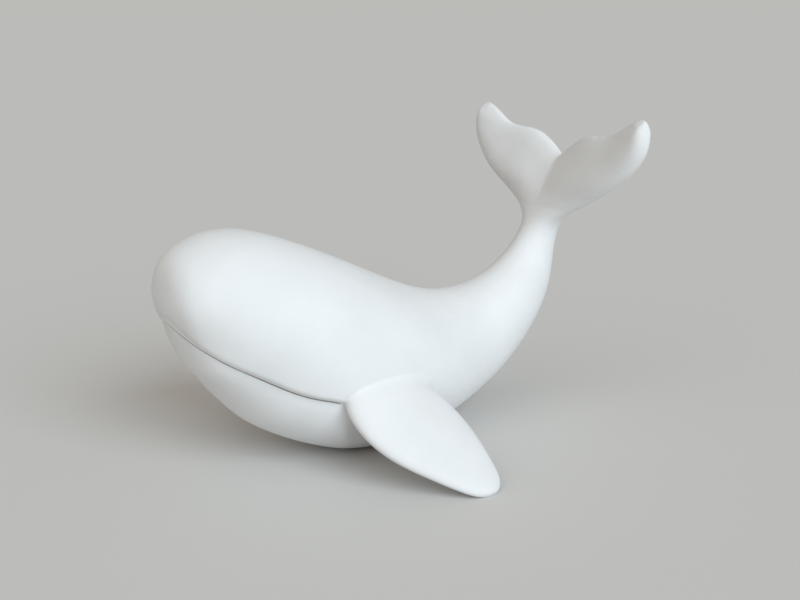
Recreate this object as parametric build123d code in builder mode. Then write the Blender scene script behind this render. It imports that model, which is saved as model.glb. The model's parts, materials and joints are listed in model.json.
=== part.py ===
"""A whale figurine that rests on its belly and flipper tips, with its tail raised.

Millimetres. The head points to -X, the whale's left side faces -Y and +Z is up. The origin is
on the surface that the figurine rests on, under the middle of its outline.
"""
import os
from collections import namedtuple
from math import cos, radians, sin, sqrt

from build123d import *

os.makedirs("parts", exist_ok=True)

# Body: each cross-section's centre, its lean, half its height and half its width, head first.
Station = namedtuple("Station", "x z lean half_height half_width")
nose = Station(-76.1, 50.0, 15.0, 1.2, 1.2)
brow = Station(-69.7, 51.4, 9.7, 19.3, 20.0)
head = Station(-50.9, 48.4, -24.9, 26.9, 28.1)
nape = Station(-33.1, 38.0, -32.3, 29.7, 31.1)
chest = Station(-14.4, 29.1, -17.4, 29.6, 31.4)
belly = Station(5.9, 25.8, -2.3, 25.7, 26.6)
loin = Station(26.0, 27.6, 13.4, 20.1, 19.8)
tail_root = Station(44.8, 35.3, 32.0, 15.1, 14.2)
tail_bend = Station(58.9, 49.8, 60.0, 10.3, 9.3)
stock_end = Station(65.5, 69.0, 90.0, 5.9, 5.2)
trunk = [brow, head, nape, chest, belly, loin, tail_root]
body_stations = [*trunk, tail_bend, stock_end]
wall = 3.0

# Mouth and throat, as seen from the side: the mouth line back from the lip, then the heel down.
mouth_corner = (-31.9, 25.6)
mouth_line = [(-76.9, 56.6), (-74.5, 50.5), (-66.9, 44.2), (-52.6, 35.1), mouth_corner]
heel_line = [mouth_corner, (-29.7, 14.5), (-20.2, 0.0)]
lip_step = 0.5
tongue_depth = 3.0
tongue_thickness = 1.6

# Flippers: sections along the span, from inside the body to the tip.
Blade = namedtuple("Blade", "out centre half_chord half_thickness")
flipper_droop = 35.0
flipper_pitch = 7.4
flipper_set_in = 1.1
flipper_behind_mouth = 0.9
flipper_blades = [
    Blade(-8.0, 15.5, 13.5, 5.2),
    Blade(0.0, 17.0, 17.6, 5.4),
    Blade(10.0, 19.0, 19.2, 4.8),
    Blade(20.0, 22.0, 17.4, 3.9),
    Blade(28.0, 26.2, 13.8, 3.1),
    Blade(34.0, 29.6, 9.2, 2.4),
    Blade(38.0, 31.2, 4.6, 1.5),
]
flipper_tip_out = 39.4
flipper_tip_centre = 31.8

# Flukes: level sections of the tail fan, placed by how far each is above and behind the stock's end.
Slice = namedtuple("Slice", "rise back half_span half_thickness edge_radius bend crease")
fluke_slices = [
    Slice(3.5, 1.2, 13.5, 5.4, 3.9, 0.0, 0.3),
    Slice(7.5, 2.7, 22.5, 4.8, 3.3, 0.8, 0.8),
    Slice(12.5, 4.7, 31.2, 4.2, 2.9, 2.0, 1.1),
    Slice(19.0, 7.1, 39.4, 3.5, 2.5, 4.0, 1.1),
    Slice(27.0, 9.4, 44.2, 2.8, 2.0, 5.5, 0.8),
    Slice(38.5, 12.2, 44.8, 2.0, 1.5, 6.8, 0.4),
]

# The fan's trailing edge from the notch out to one tip: how far aside and how high it runs.
notch_rise = 19.6
hump_span = 15.0
hump_rise = 27.8
dip_span = 27.0
dip_rise = 29.6
tip_span = 40.0
tip_rise = 36.2
tip_shoulder_span = 44.8
tip_shoulder_rise = 30.0

# Dowels and the fits that hold the pieces together.
dowel_diameter = 3.0
dowel_length = 15.0
dowel_boss_diameter = 8.0
flipper_dowel_places = (10.0, 29.0)
tail_dowel_diameter = 4.0
tail_dowel_length = 18.0
tail_dowel_lean = 16.0
dowel_clearance = 0.05
dowel_end_gap = 0.4
glue_gap = 0.1
zone_margin = 8.0


def body_section(station, inset):
    """One oval cross-section of the body, drawn in all round by the inset."""
    lean = radians(station.lean)
    centre = (station.x, 0, station.z)
    with BuildSketch(Plane(centre, x_dir=(0, 1, 0), z_dir=(cos(lean), 0, sin(lean)))) as section:
        Ellipse(station.half_width - inset, station.half_height - inset)
    return section.sketch


def body_hull(inset):
    """The body from the tip of the snout to the tail stock, drawn in by the inset."""
    nose_tip = body_section(nose._replace(x=nose.x + inset), 0)
    with BuildPart() as hull:
        loft(sections=[nose_tip, *[body_section(station, inset) for station in body_stations]])
    return hull.part


def body_hollow(inset):
    """The hollow of the head and trunk, which stops short of the snout and the tail stock."""
    with BuildPart() as hollow:
        loft(sections=[body_section(station, inset) for station in trunk])
    return hollow.part


def throat_zone(grow):
    """The block under the mouth line and ahead of the throat's heel, grown up and back."""
    mouth_points = [(x + grow, z + grow) for x, z in mouth_line]
    heel_points = [(x + grow, z + grow) for x, z in heel_line]
    floor_z = -zone_margin
    front_x = nose.x - zone_margin
    with BuildPart() as zone:
        with BuildSketch(Plane.XZ):
            with BuildLine():
                mouth = Spline(*mouth_points)
                heel = Spline(*heel_points)
                Polyline(
                    heel @ 1,
                    ((heel @ 1).X, floor_z),
                    (front_x, floor_z),
                    (front_x, mouth_points[0][1]),
                    mouth @ 0,
                )
            make_face()
        extrude(amount=chest.half_width + zone_margin, both=True)
    return zone.part


outer = body_hull(0)

# The plane of each flipper's root, with its chord along x and its span along z.
droop = radians(flipper_droop)
pitch = radians(flipper_pitch)
flipper_root = Plane(
    (
        mouth_corner[0] + flipper_behind_mouth,
        flipper_set_in - chest.half_width,
        mouth_corner[1],
    ),
    x_dir=(cos(pitch), 0, -sin(pitch)),
    z_dir=(0, -cos(droop), -sin(droop)),
)
hole_radius = dowel_diameter / 2 + dowel_clearance
half_hole_length = dowel_length / 2 + dowel_end_gap


def flipper_cylinder(radius, place, low, high):
    """A round bar square to the flipper's root, at one place along the chord."""
    with BuildPart() as bar:
        with BuildSketch(flipper_root.offset(low)):
            with Locations((place, 0)):
                Circle(radius)
        extrude(amount=high - low)
    return bar.part


with BuildPart() as left_dowel_holes:
    for place in flipper_dowel_places:
        add(flipper_cylinder(hole_radius, place, -half_hole_length, half_hole_length))

with BuildPart() as left_bosses:
    for place in flipper_dowel_places:
        add(flipper_cylinder(dowel_boss_diameter / 2, place, -half_hole_length - wall, dowel_length))
    add(outer, mode=Mode.INTERSECT)

tail_hole_radius = tail_dowel_diameter / 2 + dowel_clearance
tail_hole_half = tail_dowel_length / 2 + dowel_end_gap
tail_lean = radians(tail_dowel_lean)
tail_seat = Plane(
    (stock_end.x, 0, stock_end.z), x_dir=(0, 1, 0), z_dir=(sin(tail_lean), 0, cos(tail_lean))
)
with BuildPart() as tail_hole:
    with BuildSketch(tail_seat.offset(-tail_hole_half)):
        Circle(tail_hole_radius)
    extrude(amount=2 * tail_hole_half)

# The body shell: head, back, flanks and tail stock in one hollow piece.
with BuildPart() as body_shell:
    add(outer)
    add(body_hollow(wall), mode=Mode.SUBTRACT)
    add(left_bosses.part)
    mirror(left_bosses.part, about=Plane.XZ)
    add(throat_zone(0), mode=Mode.SUBTRACT)
    add(left_dowel_holes.part, mode=Mode.SUBTRACT)
    mirror(left_dowel_holes.part, about=Plane.XZ, mode=Mode.SUBTRACT)
    add(tail_hole.part, mode=Mode.SUBTRACT)
    split(bisect_by=Plane.XY, keep=Keep.TOP)

# The throat: lower jaw and chest, with a tongue round its rim that slips inside the shell.
with BuildPart() as throat_skin:
    add(body_hull(lip_step))
    add(throat_zone(-glue_gap), mode=Mode.INTERSECT)
with BuildPart() as throat_tongue:
    add(body_hollow(wall + glue_gap))
    add(throat_zone(tongue_depth), mode=Mode.INTERSECT)
with BuildPart() as throat_shell:
    add(throat_skin.part)
    add(throat_tongue.part)
    add(body_hollow(wall + glue_gap + tongue_thickness), mode=Mode.SUBTRACT)
    split(bisect_by=Plane.XY, keep=Keep.TOP)

# Flippers: a tapering blade scribed to the flank, cut level where its tip rests.
def blade_section(blade):
    """One oval section across a flipper."""
    with BuildSketch(flipper_root.offset(blade.out)) as section:
        with Locations((blade.centre, 0)):
            Ellipse(blade.half_chord, blade.half_thickness)
    return section.sketch


flipper_tip = flipper_root.from_local_coords((flipper_tip_centre, 0, flipper_tip_out))
with BuildPart() as left_flipper:
    loft(sections=[*[blade_section(blade) for blade in flipper_blades], Vertex(*flipper_tip)])
    add(body_hull(-glue_gap), mode=Mode.SUBTRACT)
    add(left_dowel_holes.part, mode=Mode.SUBTRACT)
    split(bisect_by=Plane.XY, keep=Keep.TOP)
with BuildPart() as right_flipper:
    mirror(left_flipper.part, about=Plane.XZ)

# Flukes: half of the raised tail fan, creased down the middle of its front.
def fan_foot():
    """The right half of the fan's foot, which is the end of the tail stock."""
    middle = stock_end.x
    across = stock_end.half_height
    aside = stock_end.half_width
    bow = sqrt(0.5)
    with BuildSketch(Plane.XY.offset(stock_end.z)) as section:
        with BuildLine():
            front = Spline(
                (middle - across, 0),
                (middle - bow * across, bow * aside),
                tangents=[(0, 1), (1, 1)],
            )
            edge = ThreePointArc(
                front @ 1, (middle, aside), (middle + bow * across, bow * aside)
            )
            rear = Spline(edge @ 1, (middle + across, 0), tangents=[(1, -1), (0, -1)])
            Line(rear @ 1, front @ 0)
        make_face()
    return section.sketch


def fan_slice(cut):
    """The right half of one level section through the fan, with a round leading edge."""
    middle = stock_end.x + cut.back
    edge_x = middle - cut.bend
    round_y = cut.half_span - cut.edge_radius
    outward = (-2 * cut.bend, cut.half_span)
    inward = (2 * cut.bend, -cut.half_span)
    with BuildSketch(Plane.XY.offset(stock_end.z + cut.rise)) as section:
        with BuildLine():
            front = Spline(
                (middle - cut.half_thickness + cut.crease, 0),
                (edge_x - cut.edge_radius, round_y),
                tangents=[(-cut.crease, cut.half_thickness), outward],
            )
            edge = ThreePointArc(
                front @ 1, (edge_x, cut.half_span), (edge_x + cut.edge_radius, round_y)
            )
            rear = Spline(edge @ 1, (middle + cut.half_thickness, 0), tangents=[inward, (0, -1)])
            Line(rear @ 1, front @ 0)
        make_face()
    return section.sketch


with BuildPart() as fan_outline:
    with BuildSketch(Plane.YZ):
        with BuildLine():
            trailing = Spline(
                (0, stock_end.z + notch_rise),
                (hump_span, stock_end.z + hump_rise),
                (dip_span, stock_end.z + dip_rise),
                (tip_span, stock_end.z + tip_rise),
            )
            shoulder = Spline(
                trailing @ 1,
                (tip_shoulder_span, stock_end.z + tip_shoulder_rise),
                tangents=[trailing % 1, (0, -1)],
            )
            Polyline(
                shoulder @ 1,
                (tip_shoulder_span, stock_end.z),
                (0, stock_end.z),
                trailing @ 0,
            )
        make_face()
    extrude(amount=2 * stock_end.x)
with BuildPart() as right_fluke:
    loft(sections=[fan_foot(), *[fan_slice(cut) for cut in fluke_slices]])
    add(fan_outline.part, mode=Mode.INTERSECT)
    add(tail_hole.part, mode=Mode.SUBTRACT)
with BuildPart() as left_fluke:
    mirror(right_fluke.part, about=Plane.XZ)

with BuildPart() as tail_dowel:
    with BuildSketch(tail_seat.offset(-tail_dowel_length / 2)):
        Circle(tail_dowel_diameter / 2)
    extrude(amount=tail_dowel_length)

pieces = {
    "body_shell": body_shell,
    "throat_shell": throat_shell,
    "left_flipper": left_flipper,
    "right_flipper": right_flipper,
    "left_fluke": left_fluke,
    "right_fluke": right_fluke,
    "tail_dowel": tail_dowel,
}
for end, place in zip(("front", "rear"), flipper_dowel_places):
    with BuildPart() as left_dowel:
        add(flipper_cylinder(dowel_diameter / 2, place, -dowel_length / 2, dowel_length / 2))
    with BuildPart() as right_dowel:
        mirror(left_dowel.part, about=Plane.XZ)
    pieces[f"left_{end}_dowel"] = left_dowel
    pieces[f"right_{end}_dowel"] = right_dowel

for name, piece in pieces.items():
    piece.part.label = name
    export_step(piece.part, f"parts/{name}.step")
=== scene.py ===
# %% [markdown]
# # A whale figurine in matte white
# The figurine is a small hollow whale for a desk: a body, a throat under the mouth line, two flippers and
# the two flukes of a raised tail. This lesson loads the solid model as a fixed frame, makes a softer skin
# for each piece that shows, gives it a matte white finish and sets up a small photo studio.

# %% Load the frame
import json
from collections import namedtuple
from math import atan2, cos, pi, radians, sin

import bmesh
import bpy
import numpy as np
from mathutils import Matrix, Vector
from mathutils.bvhtree import BVHTree

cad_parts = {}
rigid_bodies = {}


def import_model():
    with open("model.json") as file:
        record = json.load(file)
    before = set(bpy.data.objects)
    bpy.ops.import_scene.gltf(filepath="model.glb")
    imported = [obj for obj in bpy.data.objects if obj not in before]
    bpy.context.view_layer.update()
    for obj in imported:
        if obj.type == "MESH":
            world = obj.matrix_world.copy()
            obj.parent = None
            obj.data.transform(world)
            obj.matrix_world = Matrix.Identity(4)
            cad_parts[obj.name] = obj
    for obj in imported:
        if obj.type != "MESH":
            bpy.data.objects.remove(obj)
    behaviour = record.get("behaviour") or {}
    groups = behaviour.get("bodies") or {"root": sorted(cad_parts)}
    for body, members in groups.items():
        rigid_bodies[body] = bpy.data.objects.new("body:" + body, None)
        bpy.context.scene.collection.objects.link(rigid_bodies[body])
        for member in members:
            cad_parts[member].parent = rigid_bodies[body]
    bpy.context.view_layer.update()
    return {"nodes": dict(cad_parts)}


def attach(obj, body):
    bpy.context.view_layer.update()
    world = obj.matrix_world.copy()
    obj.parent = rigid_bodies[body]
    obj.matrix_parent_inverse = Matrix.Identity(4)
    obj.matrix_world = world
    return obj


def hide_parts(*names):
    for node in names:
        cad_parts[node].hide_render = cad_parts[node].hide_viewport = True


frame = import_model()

MM = 0.001
print("solid pieces:", sorted(frame["nodes"]))

# %% [markdown]
# ## Helpers for smooth forms
# A figurine like this has no straight line on it. Each form is drawn as a few sections, and a cubic curve
# runs through them, as a bent spline runs through a boat builder's frames. The curve takes its pace from
# the distance between the sections, so that it doesn't overshoot where they stand close together.

# %% Curves through a few points
def distances(points):
    """How far along a row of points each one is."""
    steps = np.linalg.norm(np.diff(points, axis=0), axis=1)
    return np.concatenate([[0.0], np.cumsum(steps)])


def smooth_through(knots, values, places):
    """Reads a cubic curve, which meets the values at the knots, at the given places."""
    knots = np.asarray(knots, float)
    values = np.asarray(values, float).reshape(len(knots), -1)
    gaps = np.diff(knots)
    slopes = np.diff(values, axis=0) / gaps[:, None]
    system = np.eye(len(knots))
    turn = np.zeros_like(values)
    for row in range(1, len(knots) - 1):
        system[row, row - 1] = gaps[row - 1]
        system[row, row] = 2 * (gaps[row - 1] + gaps[row])
        system[row, row + 1] = gaps[row]
        turn[row] = 6 * (slopes[row] - slopes[row - 1])
    bend = np.linalg.solve(system, turn)
    span = np.clip(np.searchsorted(knots, places) - 1, 0, len(gaps) - 1)
    gap = gaps[span][:, None]
    after = (places - knots[span])[:, None]
    before = gap - after
    curved = (bend[span] * before**3 + bend[span + 1] * after**3) / (6 * gap)
    start = (values[span] / gap - bend[span] * gap / 6) * before
    end = (values[span + 1] / gap - bend[span + 1] * gap / 6) * after
    return curved + start + end


def curve_points(points, count):
    """Evenly spaced points on a smooth curve through a few points."""
    along = distances(points)
    return smooth_through(along, points, np.linspace(0, along[-1], count))


# %% Meshes from rings
def new_piece(name, bm):
    """Turns a bmesh into an object at the origin."""
    bmesh.ops.recalc_face_normals(bm, faces=bm.faces)
    mesh = bpy.data.meshes.new(name)
    bm.to_mesh(mesh)
    bm.free()
    piece = bpy.data.objects.new(name, mesh)
    bpy.context.scene.collection.objects.link(piece)
    return piece


def add_ring(bm, matrix, corners, capped):
    """One closed section, a circle of radius 1 that the matrix stretches and puts in its place."""
    made = bmesh.ops.create_circle(bm, cap_ends=capped, radius=1, segments=corners, matrix=matrix)
    return made["verts"]


def ring_edges(ring):
    """The edges that run round one ring."""
    members = set(ring)
    return [edge for edge in {e for v in ring for e in v.link_edges} if set(edge.verts) <= members]


def bridge_rings(bm, rings):
    """Joins each ring to the next with a band of faces."""
    loops = [ring_edges(ring) for ring in rings]
    for loop, next_loop in zip(loops, loops[1:]):
        bmesh.ops.bridge_loops(bm, edges=loop + next_loop)


def settle(piece):
    """Applies the piece's modifiers, so that the next operator works on the finished surface."""
    graph = bpy.context.evaluated_depsgraph_get()
    mesh = bpy.data.meshes.new_from_object(piece.evaluated_get(graph))
    piece.modifiers.clear()
    old = piece.data
    piece.data = mesh
    bpy.data.meshes.remove(old)


def skin_points(piece):
    """All the places of a piece's vertices, and the way that its skin faces there."""
    count = len(piece.data.vertices)
    places = np.empty(3 * count)
    facing = np.empty(3 * count)
    piece.data.vertices.foreach_get("co", places)
    piece.data.vertices.foreach_get("normal", facing)
    return places.reshape(-1, 3), facing.reshape(-1, 3)


def move_points(piece, places):
    """Puts a piece's vertices in new places."""
    piece.data.vertices.foreach_set("co", places.ravel())
    piece.data.update()


def carve(piece, cutter, operation):
    """Cuts a piece with another closed mesh, and leaves the cutter in place."""
    step = piece.modifiers.new("carve", "BOOLEAN")
    step.operation = operation
    step.solver = "MANIFOLD"
    step.object = cutter
    settle(piece)


def relax(piece, indices, passes):
    """Smooths some of a piece's vertices, each towards the middle of its neighbours."""
    bm = bmesh.new()
    bm.from_mesh(piece.data)
    bm.verts.ensure_lookup_table()
    chosen = [bm.verts[index] for index in indices]
    for turn in range(passes):
        bmesh.ops.smooth_vert(bm, verts=chosen, factor=0.5, use_axis_x=True, use_axis_y=True, use_axis_z=True)
    bm.to_mesh(piece.data)
    bm.free()


ON_PLANE = 0.0001 * MM


def cut_flat(piece, point, normal, from_x=-1.0):
    """Cuts away what lies behind a plane and past a place along x, and closes the cut with a flat face."""
    bm = bmesh.new()
    bm.from_mesh(piece.data)
    near = [corner for corner in bm.verts if corner.co.x > from_x]
    edges = {edge for corner in near for edge in corner.link_edges}
    faces = {face for corner in near for face in corner.link_faces}
    geometry = [*near, *edges, *faces]
    made = bmesh.ops.bisect_plane(
        bm, geom=geometry, dist=ON_PLANE, plane_co=point, plane_no=normal, clear_inner=True
    )
    rim = [item for item in made["geom_cut"] if isinstance(item, bmesh.types.BMEdge)]
    bmesh.ops.edgeloop_fill(bm, edges=rim)
    bmesh.ops.recalc_face_normals(bm, faces=bm.faces)
    bm.to_mesh(piece.data)
    bm.free()


def remove(*helpers):
    """Takes away cutters that have done their work."""
    for helper in helpers:
        mesh = helper.data
        bpy.data.objects.remove(helper)
        bpy.data.meshes.remove(mesh)


# %% [markdown]
# ## The hull
# The body is a row of oval sections from the snout to the tail stock, and then the level sections of the
# tail fan. A circle is drawn for each section and bridge_loops joins them. Body and fan are made in one
# hull, so that the tail runs into the flukes without a step, and they are parted later. The sections stand
# closest on the head, where the mouth line needs small faces.

# %% Sections of the body
Station = namedtuple("Station", "x z lean half_height half_width")
stations = [
    Station(-76.1, 50.0, 15.0, 1.2, 1.2),
    Station(-73.6, 51.0, 12.5, 11.8, 15.1),
    Station(-69.7, 51.4, 9.7, 19.3, 20.0),
    Station(-60.7, 51.7, -6.5, 24.8, 25.7),
    Station(-49.6, 47.3, -21.3, 27.4, 28.3),
    Station(-33.1, 38.0, -32.3, 29.7, 31.1),
    Station(-14.4, 29.1, -17.4, 29.6, 31.4),
    Station(5.9, 25.8, -2.3, 25.7, 26.6),
    Station(26.0, 27.6, 13.4, 20.1, 19.8),
    Station(44.8, 35.3, 32.0, 15.1, 14.2),
    Station(58.9, 49.8, 60.0, 10.3, 9.3),
    Station(63.9, 61.0, 77.0, 7.2, 6.6),
    Station(66.1, 66.6, 86.0, 6.2, 7.8),
    Station(68.2, 72.5, 90.0, 5.2, 15.8),
]
HULL_CORNERS = 360
HULL_RINGS = 290
HEAD_RINGS = 180
HEAD_LENGTH = 85.0
PULL_END = 125.0
FLANK_PULL = 0.3
LOW_PULL = 0.3


def station_row(station):
    """A section as the numbers that are blended: its centre, half its width and its upward half axis."""
    lean = radians(station.lean)
    rise_x = -sin(lean) * station.half_height
    rise_z = cos(lean) * station.half_height
    return [station.x, station.z, station.half_width, rise_x, rise_z]


def section_gap(first, second):
    """The mean distance between two sections, measured at the top, the bottom and the sides."""
    step = np.subtract(second, first)
    top = np.hypot(step[0] + step[3], step[1] + step[4])
    bottom = np.hypot(step[0] - step[3], step[1] - step[4])
    side = np.linalg.norm(step[:3])
    return (top + bottom + 2 * side) / 4


station_rows = np.array([station_row(station) for station in stations])
station_gaps = [section_gap(first, second) for first, second in zip(station_rows, station_rows[1:])]
station_knots = np.concatenate([[0.0], np.cumsum(station_gaps)])
pace = [0, HEAD_RINGS, HULL_RINGS - 1]
hull_places = np.interp(range(HULL_RINGS), pace, [0, HEAD_LENGTH, station_knots[-1]])
hull_rows = smooth_through(station_knots, station_rows, hull_places)
hull_pulls = np.interp(hull_places, [HEAD_LENGTH, PULL_END], [1, 0])


def section_matrix(x, z, half_width, rise_x, rise_z):
    """Places a circle of radius 1 as one oval section of the body."""
    columns = [(0, half_width, 0), (rise_x, 0, rise_z), (0, 0, 1), (x, 0, z)]
    return Matrix([[column[axis] * MM for column in columns] for axis in range(3)]).to_4x4()


def hull_ring(bm, pull, capped):
    """A circle of radius 1 with its corners drawn together on the lower flanks, where the mouth runs."""
    ring = add_ring(bm, Matrix.Identity(4), HULL_CORNERS, capped)
    turn = np.array([atan2(corner.co.y, corner.co.x) for corner in ring])
    turn -= pull * (FLANK_PULL * np.sin(2 * turn) + LOW_PULL * np.cos(turn))
    return ring, np.cos(turn), np.sin(turn)


def body_ring(bm, row, pull, capped):
    """One oval section of the body."""
    ring, aside, rise = hull_ring(bm, pull, capped)
    matrix = section_matrix(*row)
    for corner, across, up in zip(ring, aside, rise):
        corner.co = matrix @ Vector((across, up, 0))
    return ring


print("hull sections:", len(hull_rows), "over", round(station_knots[-1]), "mm")

# %% [markdown]
# ## The tail fan
# A fluke is shaped like a wing: its leading edge is thick and round, it is thickest a third of the way
# across, and it thins out to the trailing edge. So the thickness at each point comes from its distance to
# the two edges. The fan is also bent forward on both sides of a crease, like a book held half open.

# %% Sections of the tail fan
Slice = namedtuple("Slice", "rise back half_thickness bend")
fan_slices = [
    Slice(0.0, 0.0, 5.2, 0.0),
    Slice(4.0, 1.4, 4.9, 1.1),
    Slice(9.0, 3.1, 4.8, 2.6),
    Slice(15.5, 5.6, 4.7, 3.9),
    Slice(23.5, 8.1, 4.3, 5.2),
    Slice(35.0, 10.6, 3.4, 6.3),
]
fan_foot = stations[-1]
LEADING_EDGE = [
    (fan_foot.half_width, 0.0),
    (23.6, 4.0),
    (32.0, 9.0),
    (40.0, 15.5),
    (44.6, 23.5),
    (44.7, 27.5),
    (43.9, 30.8),
    (42.6, 32.6),
    (41.1, 33.1),
]
TRAILING_EDGE = [(0.0, 17.0), (15.0, 25.1), (27.0, 26.4), (36.4, 31.2), (41.0, 33.05)]
FAN_RINGS = 120
NECK_RISE = 8.0
THICKEST = 0.38
THIN_SHARE = 0.62
VENTRAL_SHARE = 0.65
EDGE_RADIUS = 5.0
TIP_WIDTH = 9.0
RIM_SHARE = 0.2
CREASE_WIDTH = 0.03
BEND_POWER = 2.0

leading = curve_points(np.array(LEADING_EDGE), FAN_RINGS)
trailing = curve_points(np.array(TRAILING_EDGE), 50)
fan_rows = smooth_through([cut.rise for cut in fan_slices], [cut[1:] for cut in fan_slices], leading[:, 1])


def reach(curve, places):
    """The distance from each place to the nearest point of a curve, drawn as short straight steps."""
    nearest = np.full(len(places), np.inf)
    for start, step in zip(curve, np.diff(curve, axis=0)):
        away = places - start
        share = np.clip(away @ step / step.dot(step), 0, 1)
        nearest = np.minimum(nearest, np.linalg.norm(away - share[:, None] * step, axis=1))
    return nearest


def quarter_round(share):
    """Rises from 0 to 1 like a quarter of a circle."""
    return np.sqrt(1 - (1 - np.clip(share, 0, 1)) ** 2)


def ease(share):
    """Rises from 0 to 1 with a soft start and a soft end."""
    share = np.clip(share, 0, 1)
    return share * share * (3 - 2 * share)


def wing_profile(aside, rise):
    """The share of the full thickness at places on the fan, seen from the front."""
    places = np.stack([aside, np.full_like(aside, rise)], axis=1)
    to_front = reach(leading, places)
    below_edge = rise < np.interp(aside, trailing[:, 0], trailing[:, 1])
    to_back = np.where(below_edge, reach(trailing, places), 0.0)
    width = to_front + to_back
    share = to_front / np.maximum(width, EDGE_RADIUS)
    thinned = 1 - (1 - THIN_SHARE) * ease((share - THICKEST) / (1 - THICKEST))
    rim = RIM_SHARE + (1 - RIM_SHARE) * quarter_round(to_back / EDGE_RADIUS)
    return quarter_round(share / THICKEST) * thinned * rim * quarter_round(width / TIP_WIDTH)


def fan_ring(bm, half_span, rise, shape, capped):
    """One level section of the fan, bent forward on both sides of the crease."""
    back, half_thickness, bend = shape
    ring, aside, ahead = hull_ring(bm, 0.0, capped)
    wing = ease(rise / NECK_RISE)
    profile = (1 - wing) * abs(ahead) + wing * wing_profile(half_span * abs(aside), rise)
    valley = (np.hypot(aside, CREASE_WIDTH) - CREASE_WIDTH) / (np.hypot(1, CREASE_WIDTH) - CREASE_WIDTH)
    thickness = half_thickness * np.where(ahead > 0, 1, wing * (1 - VENTRAL_SHARE) - 1)
    forward = thickness * profile + bend * (1 - (1 - valley) ** BEND_POWER)
    for corner, across, depth in zip(ring, aside, forward):
        corner.co = Vector((fan_foot.x + back - depth, half_span * across, fan_foot.z + rise)) * MM
    return ring


def make_hull(name):
    """The closed hull from the snout to the top of the fan."""
    bm = bmesh.new()
    rings = []
    for index, (row, pull) in enumerate(zip(hull_rows, hull_pulls)):
        rings.append(body_ring(bm, row, pull, index == 0))
    for index in range(1, FAN_RINGS):
        capped = index == FAN_RINGS - 1
        rings.append(fan_ring(bm, *leading[index], fan_rows[index], capped))
    bridge_rings(bm, rings)
    return new_piece(name, bm)


hull = make_hull("hull")
print("hull:", len(hull.data.polygons), "faces")

# %% [markdown]
# ## The mouth line in the skin
# Before the throat is parted from the body, the line between them is pressed into the hull. The upper lip
# rolls in over it, and the throat below comes out slowly. At the heel the throat ends in a soft edge, and
# the flank behind it turns in towards the flipper. Each depth depends on the distance to a curve.

# %% Press the mouth and the heel into the hull
MOUTH_CORNER = (-32.6, 24.8)
MOUTH_LINE = [(-77.2, 54.6), (-75.2, 49.8), (-69.2, 43.7), (-57.3, 36.1), (-43.3, 28.3), MOUTH_CORNER]
GROOVE_END = (-24.0, 23.8)
GROOVE_PLACES = [-76.0, -66.0, -50.0, -36.0, -29.0, -24.0]
GROOVE_DEPTHS = [0.6, 1.1, 2.0, 2.4, 2.0, 0.0]
SLOT_START = 1.0
SLOT_SHARE = 0.1
LIP_ROLL = 3.2
LIP_POWER = 2.0
THROAT_RISE = 10.0
HEEL_DEPTH = 4.0
HEEL_ROLL = 1.0
HEEL_TURN = 10.0
HEEL_RECESS = 10.0
HEEL_FADE = (1.0, 12.0)
CORNER_FADE = 2.0
Hollow = namedtuple("Hollow", "x z width depth")
chin_forms = [Hollow(-75.0, 49.0, 6.0, 0.8), Hollow(-68.4, 35.9, 6.0, -1.0), Hollow(-59.0, 21.5, 8.0, 0.7)]

mouth_curve = curve_points(np.array(MOUTH_LINE), 80)
groove_curve = np.vstack([mouth_curve, GROOVE_END])
mouth_depths = np.interp(mouth_curve[:, 0], GROOVE_PLACES, GROOVE_DEPTHS)


def search_tree(piece):
    """A tree that finds the nearest place on a piece's skin, or the place that a ray meets."""
    bm = bmesh.new()
    bm.from_mesh(piece.data)
    tree = BVHTree.FromBMesh(bm)
    bm.free()
    return tree


def left_hit(tree, x, z):
    """What a ray from the left meets at a place on the side view: the spot and the way that it faces."""
    return tree.ray_cast(Vector((x * MM, -1, z * MM)), Vector((0, 1, 0)))[:2]


def on_flanks(piece, curve):
    """Where a curve, drawn on the side view, lies on the skin: from the right flank round to the left."""
    tree = search_tree(piece)
    hits = [left_hit(tree, x, z)[0] for x, z in curve]
    left = np.array([hit for hit in hits if hit is not None]) / MM
    return np.concatenate([(left * (1, -1, 1))[::-1], left])


def pressed_line(piece, curve, depths):
    """Where a curve on the side view comes to lie when the skin is pressed in along it."""
    tree = search_tree(piece)
    line = np.array(curve)
    for index, (x, z) in enumerate(curve):
        facing = left_hit(tree, x, z)[1]
        if facing is not None:
            line[index] -= depths[index] * np.array([facing.x, facing.z])
    return line


seam_curve = pressed_line(hull, mouth_curve, mouth_depths)
HEEL_LINE = [tuple(seam_curve[-1]), (-30.2, 14.5), (-21.0, 0.0)]
heel_curve = curve_points(np.array(HEEL_LINE), 40)


def bell(away, width):
    """Falls from 1 to 0 with the distance, like a bell."""
    return np.exp(-((away / width) ** 2))


def mouth_depth(places, path):
    """The lip that rolls in above the mouth line, and the throat that comes out slowly below it."""
    x, y, z = places.T
    away = reach(path, places)
    floor = np.interp(x, GROOVE_PLACES, GROOVE_DEPTHS)
    lip = np.maximum(1 - away / LIP_ROLL, 0) ** LIP_POWER
    throat = np.exp(-away / THROAT_RISE)
    above = z > np.interp(x, groove_curve[:, 0], groove_curve[:, 1])
    return floor * np.where(above, lip, throat)


def heel_depth(places, path):
    """The soft edge of the throat's heel, and the flank that turns in behind it."""
    x, y, z = places.T
    away = reach(path, places)
    behind = x > np.interp(-z, -heel_curve[:, 1], heel_curve[:, 0])
    past = np.where(behind, away, -away)
    turned = ease((past + HEEL_ROLL) / HEEL_TURN) * bell(np.maximum(past - HEEL_TURN, 0), HEEL_RECESS)
    low = ease((z - HEEL_FADE[0]) / (HEEL_FADE[1] - HEEL_FADE[0]))
    high = bell(np.maximum(z - MOUTH_CORNER[1], 0), CORNER_FADE)
    return HEEL_DEPTH * turned * low * high


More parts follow.
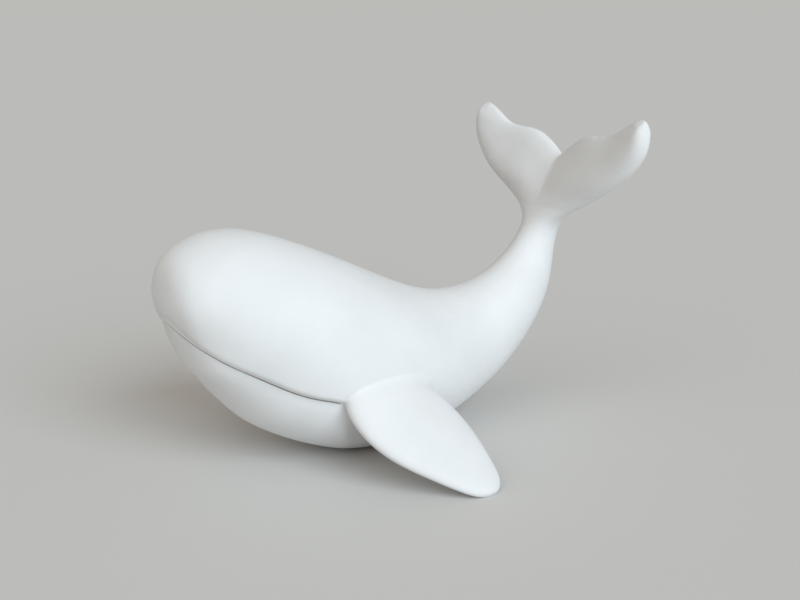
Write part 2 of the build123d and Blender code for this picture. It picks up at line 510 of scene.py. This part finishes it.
def press_in(piece):
    """Presses the mouth, the heel and the forms of the chin into a hull."""
    places, facing = skin_points(piece)
    places = places / MM
    mouth = mouth_depth(places, on_flanks(piece, groove_curve))
    heel = heel_depth(places, on_flanks(piece, heel_curve)[len(heel_curve):])
    depth = np.hypot(mouth, heel)
    for form in chin_forms:
        depth += form.depth * bell(np.hypot(places[:, 0] - form.x, places[:, 2] - form.z), form.width)
    move_points(piece, (places - facing * depth[:, None]) * MM)


press_in(hull)
print("mouth line:", round(distances(mouth_curve)[-1]), "mm long, seen from the side")

# %% [markdown]
# ## Body and throat
# The throat is a piece of its own. A block with the outline of mouth line and heel, seen from the side,
# parts it from the body. The cut runs under the rolled lip, along the floor of the groove. The throat
# stands off from it by a slot as fine as a hair, which widens to the rear and darkens the mouth line.

# %% Part the throat from the body
LIP_GAP = 0.005
BLOCK_FRONT = -90.0
BLOCK_FLOOR = -10.0
BLOCK_HALF_WIDTH = 40.0
TAIL_SEAM = 69.0 * MM
TAIL_START = 40 * MM
UP = Vector((0, 0, 1))
DOWN = -UP


def extruded_block(name, outline, low, high):
    """Closes an outline with a face and extrudes it from one place to the other."""
    bm = bmesh.new()
    face = bm.faces.new([bm.verts.new(Vector(point) + Vector(low)) for point in outline])
    grown = bmesh.ops.extrude_face_region(bm, geom=[face])["geom"]
    moved = [item for item in grown if isinstance(item, bmesh.types.BMVert)]
    bmesh.ops.translate(bm, verts=moved, vec=Vector(high) - Vector(low))
    return new_piece(name, bm)


def throat_block(name, gap, slot_share):
    """The block under the seam and ahead of the heel, drawn back by a gap and lowered by a fine slot."""
    slot = np.zeros_like(seam_curve)
    slot[:, 1] = slot_share * (mouth_depths + SLOT_START)
    edge = [*(seam_curve - slot), *heel_curve[1:]]
    floor = [(HEEL_LINE[-1][0], BLOCK_FLOOR), (BLOCK_FRONT, BLOCK_FLOOR), (BLOCK_FRONT, MOUTH_LINE[0][1])]
    outline = [((x - gap) * MM, 0, (z - gap) * MM) for x, z in [*edge, *floor]]
    half_width = BLOCK_HALF_WIDTH * MM
    return extruded_block(name, outline, (0, -half_width, 0), (0, half_width, 0))


def copy_of(piece, name):
    """A second object with a mesh of its own."""
    twin = bpy.data.objects.new(name, piece.data.copy())
    bpy.context.scene.collection.objects.link(twin)
    return twin


def part_hull(name, gap, slot_share, operation):
    """The hull without its fan, on one side of the throat block, level where it rests on the table."""
    piece = copy_of(hull, name)
    cut_flat(piece, UP * TAIL_SEAM, DOWN, TAIL_START)
    block = throat_block("throat_block", gap, slot_share)
    carve(piece, block, operation)
    remove(block)
    cut_flat(piece, Vector(), UP)
    return piece


body = part_hull("body_skin", 0.0, 0.0, "DIFFERENCE")
throat = part_hull("throat_skin", LIP_GAP, SLOT_SHARE, "INTERSECT")
print("body:", len(body.data.polygons), "faces, throat:", len(throat.data.polygons), "faces")

# %% [markdown]
# ## The flukes
# The fan of the hull runs up past the tail's real edge. A block with the outline of the trailing edge, from
# the notch over a hump and a dip to each tip, trims it where it is thin. Two flat cuts then part it from the
# stock and into a left and a right fluke.

# %% Trim and part the flukes
SEAM = 0.03 * MM
BLOCK_SIDE = 60.0
BLOCK_DROP = 20.0
BLOCK_RISE = 5.0

right_side = [(aside, fan_foot.z + rise) for aside, rise in trailing]
tip, tip_height = right_side[-1]
right_side += [(tip, tip_height + BLOCK_RISE), (BLOCK_SIDE, tip_height + BLOCK_RISE)]
right_side += [(BLOCK_SIDE, fan_foot.z - BLOCK_DROP)]
left_side = [(-aside, height) for aside, height in reversed(right_side[1:])]
fan_outline = [(0, aside * MM, height * MM) for aside, height in [*right_side, *left_side]]

fan = copy_of(hull, "fan")
block = extruded_block("fan_block", fan_outline, (TAIL_START, 0, 0), (2.5 * TAIL_START, 0, 0))
carve(fan, block, "INTERSECT")
cut_flat(fan, UP * TAIL_SEAM, UP)

right_way = Vector((0, 1, 0))
left_fluke = copy_of(fan, "left_fluke_skin")
cut_flat(left_fluke, -right_way * SEAM, -right_way)
right_fluke = copy_of(fan, "right_fluke_skin")
cut_flat(right_fluke, right_way * SEAM, right_way)
remove(block, fan, hull)
print("each fluke:", len(left_fluke.data.polygons), "faces")

# %% [markdown]
# ## The flippers
# A flipper is a row of oval sections again, from inside the body out to the tip, on a plane that droops from
# the flank. Where it leaves the body its skin flares out in a small round fillet, as wet clay would. The
# distance to the body's surface is read from a search tree, and the flare follows a quarter circle.

# %% Shape one flipper and mirror it
Blade = namedtuple("Blade", "out centre half_chord half_thickness")
blades = [
    Blade(-8.0, 14.0, 12.0, 6.4),
    Blade(0.0, 15.3, 15.9, 6.8),
    Blade(10.0, 17.9, 18.1, 6.0),
    Blade(20.0, 21.4, 16.8, 4.6),
    Blade(28.0, 25.5, 13.0, 3.3),
    Blade(34.0, 28.9, 9.0, 2.5),
    Blade(37.3, 30.3, 5.7, 1.8),
    Blade(38.7, 30.7, 3.0, 1.1),
    Blade(39.1, 30.7, 0.4, 0.4),
]
FLIPPER_DROOP = radians(35.0)
FLIPPER_PITCH = radians(7.4)
FLIPPER_ROOT = Vector((-31.0, -30.3, 25.6)) * MM
FLIPPER_RINGS = 300
FLIPPER_CORNERS = 128
FILLET = 2.6 * MM
SIDE_FILLET = 0.5 * MM
FILLET_PASSES = 8
OPEN_WAY = Vector((0.6, 0, 0.8))


def flipper_frame():
    """The flipper's own axes: along the chord, through the thickness and out along the span."""
    out = Vector((0, -cos(FLIPPER_DROOP), -sin(FLIPPER_DROOP)))
    chord = Vector((cos(FLIPPER_PITCH), 0, -sin(FLIPPER_PITCH)))
    chord = (chord - out * chord.dot(out)).normalized()
    through = out.cross(chord)
    turned = Matrix((chord, through, out)).transposed().to_4x4()
    return Matrix.Translation(FLIPPER_ROOT) @ turned


def flare_at(piece, neighbour):
    """Flares the piece's skin out to its neighbour in a round fillet, widest where it faces up and back."""
    tree = search_tree(neighbour)
    places, facing = skin_points(piece)
    flared = []
    for index, (place, way) in enumerate(zip(places, facing)):
        spot, normal, face, away = tree.find_nearest(place)
        radius = SIDE_FILLET + (FILLET - SIDE_FILLET) * max(OPEN_WAY.dot(way), 0.0) ** 2
        outside = (Vector(place) - spot).dot(normal)
        short = min(max(radius - outside, 0.0), radius)
        aside = Vector(way) - normal * normal.dot(way)
        places[index] += np.array(aside) * (radius - (radius**2 - short**2) ** 0.5)
        if abs(outside) < FILLET:
            flared.append(index)
    move_points(piece, places)
    relax(piece, flared, FILLET_PASSES)


def make_flipper(name):
    """The left flipper, a row of oval sections from inside the body out to the tip, capped at both ends."""
    rows = np.array(blades)
    knots = distances(rows)
    frame_matrix = flipper_frame()
    bm = bmesh.new()
    rings = []
    places = np.linspace(0, knots[-1], FLIPPER_RINGS)
    for index, row in enumerate(smooth_through(knots, rows, places)):
        out, centre, half_chord, half_thickness = row * MM
        place = Matrix.Translation((centre, 0, out)) @ Matrix.Diagonal((half_chord, half_thickness, 1, 1))
        capped = index in (0, FLIPPER_RINGS - 1)
        rings.append(add_ring(bm, frame_matrix @ place, FLIPPER_CORNERS, capped))
    bridge_rings(bm, rings)
    return new_piece(name, bm)


left_flipper = make_flipper("left_flipper_skin")
flare_at(left_flipper, body)
cut_flat(left_flipper, Vector(), UP)
right_flipper = copy_of(left_flipper, "right_flipper_skin")
right_flipper.data.transform(Matrix.Diagonal((1, -1, 1, 1)))
right_flipper.data.flip_normals()
print("each flipper:", len(left_flipper.data.polygons), "faces")

# %% [markdown]
# ## The finish
# The skin is matte white all over, with faint level lines from the layers it was built up in, a little
# mottling and a fine grain. All of it is procedural and reads Object coordinates, so it stays put on the
# piece. The lines come and go with a large soft noise, since they show only here and there.

# %% Matte white with faint layer lines
LAYER_HEIGHT = 0.9 * MM
WAVE_TURNS = 20.0
LINES_RISE = (-15 * MM, 20 * MM)
LINES_FALL = (52 * MM, 64 * MM)


def link(tree, source, target):
    """Joins an output socket to an input socket."""
    tree.links.new(source, target)


def noise(tree, where, feature, detail):
    """A noise texture whose features have about the given size."""
    node = tree.nodes.new("ShaderNodeTexNoise")
    node.inputs["Scale"].default_value = 1 / feature
    node.inputs["Detail"].default_value = detail
    link(tree, where, node.inputs["Vector"])
    return node.outputs["Fac"]


def spread(tree, value, low, high, new_low, new_high):
    """Stretches a value from one range to another."""
    node = tree.nodes.new("ShaderNodeMapRange")
    for name, number in zip(("From Min", "From Max", "To Min", "To Max"), (low, high, new_low, new_high)):
        node.inputs[name].default_value = number
    link(tree, value, node.inputs["Value"])
    return node.outputs["Result"]


def combine(tree, operation, first, second):
    """One step of arithmetic on two values."""
    node = tree.nodes.new("ShaderNodeMath")
    node.operation = operation
    link(tree, first, node.inputs[0])
    if isinstance(second, float):
        node.inputs[1].default_value = second
    else:
        link(tree, second, node.inputs[1])
    return node.outputs["Value"]


def printed_skin(name, light, shade, line_depth):
    """A matte printed plastic between two close tones, with layer lines of the given depth."""
    material = bpy.data.materials.new(name)
    material.use_nodes = True
    tree = material.node_tree
    shader = tree.nodes["Principled BSDF"]
    where = tree.nodes.new("ShaderNodeTexCoord").outputs["Object"]

    tones = tree.nodes.new("ShaderNodeMix")
    tones.data_type = "RGBA"
    tones.inputs["A"].default_value = (*shade, 1)
    tones.inputs["B"].default_value = (*light, 1)
    link(tree, spread(tree, noise(tree, where, 22 * MM, 3.0), 0.35, 0.65, 0.0, 1.0), tones.inputs["Factor"])
    link(tree, tones.outputs["Result"], shader.inputs["Base Color"])

    rough = spread(tree, noise(tree, where, 9 * MM, 2.0), 0.3, 0.7, 0.58, 0.7)
    link(tree, rough, shader.inputs["Roughness"])
    shader.inputs["Specular IOR Level"].default_value = 0.35

    layers = tree.nodes.new("ShaderNodeTexWave")
    layers.bands_direction = "Z"
    layers.inputs["Scale"].default_value = 2 * pi / (WAVE_TURNS * LAYER_HEIGHT)
    layers.inputs["Distortion"].default_value = 0.6
    layers.inputs["Detail Scale"].default_value = 0.15
    link(tree, where, layers.inputs["Vector"])
    split = tree.nodes.new("ShaderNodeSeparateXYZ")
    link(tree, where, split.inputs["Vector"])
    rear = spread(tree, split.outputs["X"], *LINES_RISE, 0.1, 1.0)
    tail = spread(tree, split.outputs["X"], *LINES_FALL, 1.0, 0.1)
    patches = spread(tree, noise(tree, where, 30 * MM, 1.0), 0.35, 0.55, 0.3, 1.0)
    patches = combine(tree, "MULTIPLY", combine(tree, "MULTIPLY", rear, tail), patches)
    lines = combine(tree, "MULTIPLY", layers.outputs["Fac"], patches)
    grain = combine(tree, "MULTIPLY", noise(tree, where, 0.7 * MM, 2.0), 0.5)
    mottle = combine(tree, "MULTIPLY", noise(tree, where, 4 * MM, 1.0), 1.6)
    bump = tree.nodes.new("ShaderNodeBump")
    bump.inputs["Strength"].default_value = 0.5
    bump.inputs["Distance"].default_value = line_depth
    height = combine(tree, "ADD", combine(tree, "ADD", lines, grain), mottle)
    link(tree, height, bump.inputs["Height"])
    link(tree, bump.outputs["Normal"], shader.inputs["Normal"])
    return material


white_skin = printed_skin("matte_white", (0.83, 0.83, 0.83), (0.79, 0.79, 0.785), 0.08 * MM)
peg_white = printed_skin("peg_white", (0.78, 0.78, 0.76), (0.73, 0.73, 0.71), 0.06 * MM)
print("finishes:", white_skin.name, peg_white.name)

# %% [markdown]
# ## Dress the frame
# Each skin stands for one solid of the frame and rides on its body. The pegs inside stay as they are, with
# a finish of their own. Faces are shaded smooth, but the flat cuts keep their crisp rim.

# %% Put the skins on
SHARP_TURN = radians(50)
skins = {
    "body_shell": body,
    "throat_shell": throat,
    "left_flipper": left_flipper,
    "right_flipper": right_flipper,
    "left_fluke": left_fluke,
    "right_fluke": right_fluke,
}
for node, skin in skins.items():
    skin.data.shade_smooth()
    skin.data.set_sharp_from_angle(angle=SHARP_TURN)
    skin.data.materials.clear()
    skin.data.materials.append(white_skin)
    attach(skin, "root")
    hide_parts(node)
for name, node in frame["nodes"].items():
    if name.endswith("dowel"):
        node.data.materials.clear()
        node.data.materials.append(peg_white)
print("skins:", {node: len(skin.data.polygons) for node, skin in skins.items()})

# %% [markdown]
# ## The studio
# A pale floor, an even warm sky and one large soft light make a plain studio. The light stands to the right
# of the camera and above it, so that the flank is bright and the snout's far side lies in half shade. A weak
# fill from the left lifts the flukes. Both are sun lamps with a wide angle: they light the floor evenly, and
# their shadows are soft all the same.

# %% Floor, sky and lamps
FLOOR_SIZE = 60.0
FLOOR_COLOUR = (0.67, 0.655, 0.635)
BACKDROP_COLOUR = (0.5, 0.496, 0.48)
SKY_COLOUR = (1.0, 0.94, 0.86)
SKY_STRENGTH = 0.35
KEY_COLOUR = (0.77, 0.9, 1.0)
KEY_FROM = (0.03, -0.9, 0.52)
KEY_STRENGTH = 2.2
KEY_ANGLE = radians(40)
FILL_COLOUR = (1.0, 0.98, 0.95)
FILL_FROM = (-0.55, -0.3, 0.78)
FILL_STRENGTH = 0.5
FILL_ANGLE = radians(60)


def make_floor():
    """A wide pale floor, which isn't part of the figurine."""
    bm = bmesh.new()
    bmesh.ops.create_grid(bm, x_segments=1, y_segments=1, size=FLOOR_SIZE / 2)
    floor = new_piece("floor", bm)
    material = bpy.data.materials.new("pale_floor")
    material.use_nodes = True
    shader = material.node_tree.nodes["Principled BSDF"]
    shader.inputs["Base Color"].default_value = (*FLOOR_COLOUR, 1)
    shader.inputs["Roughness"].default_value = 0.8
    shader.inputs["Specular IOR Level"].default_value = 0.0
    floor.data.materials.append(material)


def make_sun(name, came_from, strength, colour, angle):
    """A sun lamp that is as soft as its angle is wide."""
    lamp = bpy.data.lights.new(name, "SUN")
    lamp.energy = strength
    lamp.color = colour
    lamp.angle = angle
    holder = bpy.data.objects.new(name, lamp)
    holder.rotation_euler = (-Vector(came_from)).to_track_quat("-Z", "Y").to_euler()
    bpy.context.scene.collection.objects.link(holder)


def make_sky():
    """An even warm sky, which shows as a plain backdrop where it is seen."""
    world = bpy.data.worlds.new("studio")
    world.use_nodes = True
    tree = world.node_tree
    sky = tree.nodes["Background"]
    sky.inputs["Color"].default_value = (*SKY_COLOUR, 1)
    sky.inputs["Strength"].default_value = SKY_STRENGTH
    backdrop = tree.nodes.new("ShaderNodeBackground")
    backdrop.inputs["Color"].default_value = (*BACKDROP_COLOUR, 1)
    rays = tree.nodes.new("ShaderNodeLightPath").outputs
    seen = combine(tree, "MAXIMUM", rays["Is Camera Ray"], rays["Is Glossy Ray"])
    seen = combine(tree, "MAXIMUM", seen, rays["Is Transmission Ray"])
    mix = tree.nodes.new("ShaderNodeMixShader")
    link(tree, seen, mix.inputs["Fac"])
    link(tree, sky.outputs["Background"], mix.inputs[1])
    link(tree, backdrop.outputs["Background"], mix.inputs[2])
    link(tree, mix.outputs["Shader"], tree.nodes["World Output"].inputs["Surface"])
    bpy.context.scene.world = world


make_floor()
make_sun("key", KEY_FROM, KEY_STRENGTH, KEY_COLOUR, KEY_ANGLE)
make_sun("fill", FILL_FROM, FILL_STRENGTH, FILL_COLOUR, FILL_ANGLE)
make_sky()
bpy.context.scene.view_settings.view_transform = "Standard"

# %% [markdown]
# ## The camera
# The camera stands where the photograph was taken, found by matching the two flukes, which mirror each
# other, with their places in the picture. It looks down at about 15 degrees.

# %% Set up the camera
CAMERA_PLACE = Vector((-173.95, -288.27, 139.67)) * MM
VIEW_TURN = radians(32.0)
VIEW_DOWN = radians(15.45)
LENS = 47.25
SENSOR = 36.0


def make_camera():
    """The photograph's camera."""
    camera = bpy.data.cameras.new("camera")
    camera.lens = LENS
    camera.sensor_width = SENSOR
    camera.clip_start = 0.01
    holder = bpy.data.objects.new("camera", camera)
    holder.location = CAMERA_PLACE
    holder.rotation_euler = (pi / 2 - VIEW_DOWN, 0, -VIEW_TURN)
    bpy.context.scene.collection.objects.link(holder)
    bpy.context.scene.camera = holder


make_camera()
